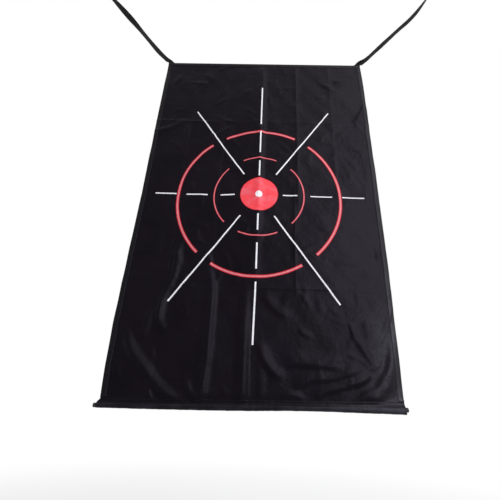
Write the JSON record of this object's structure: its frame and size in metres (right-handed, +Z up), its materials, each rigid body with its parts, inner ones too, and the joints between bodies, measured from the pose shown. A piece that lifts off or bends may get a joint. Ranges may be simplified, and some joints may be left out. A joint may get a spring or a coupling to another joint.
{
  "type": "hanging golf chipping target",
  "caption": "Printed cloth target hung by two corner webbing straps with sewn loops, kept flat by a jointed rod in its bottom sleeve.",
  "frame": {"origin": "midway between the eyes of the two strap loops, on the line that the target hangs from", "axes": "+Z up, +X to the right of a player who faces the print, and the print faces -Y"},
  "size_m": [1.8948, 0.03, 2.1272],
  "materials": {
    "webbing": "woven polypropylene webbing",
    "printed_cloth": "black polyester cloth with a printed ring target",
    "edge_tape": "black folded binding tape",
    "sleeve_cloth": "black polyester cloth",
    "rod_tube": "drawn fibreglass tube",
    "ferrule": "drawn steel tube",
    "end_cap": "soft moulded cap"
  },
  "bodies": {
    "straps": {"left_strap": "webbing", "right_strap": "webbing", "left_strap_loop": "webbing", "right_strap_loop": "webbing"},
    "target": {"target_panel": "printed_cloth", "top_binding": "edge_tape", "left_binding": "edge_tape", "right_binding": "edge_tape", "rod_sleeve": "sleeve_cloth", "left_strap_tail": "webbing", "right_strap_tail": "webbing"},
    "rod_middle": {"rod_section_middle": "rod_tube", "ferrule_left": "ferrule", "ferrule_right": "ferrule"},
    "rod_left_end": {"rod_section_left": "rod_tube", "end_cap_left": "end_cap"},
    "rod_right_end": {"rod_section_right": "rod_tube", "end_cap_right": "end_cap"}
  },
  "joints": [
    {"name": "panel_swing", "type": "hinge", "parent": "straps", "child": "target", "pos_m": [0, 0, -0.59932], "axis": [1, 0, 0], "range_deg": [-90, 90]},
    {"name": "rod_slide", "type": "slide", "parent": "target", "child": "rod_middle", "axis": [-0.9996, 0, -0.0279], "range_m": [0, 0.9]},
    {"name": "left_section_pull", "type": "slide", "parent": "rod_middle", "child": "rod_left_end", "axis": [-0.9996, 0, -0.0279], "range_m": [0, 0.034]},
    {"name": "right_section_pull", "type": "slide", "parent": "rod_middle", "child": "rod_right_end", "axis": [0.9996, 0, 0.0279], "range_m": [0, 0.034]}
  ]
}
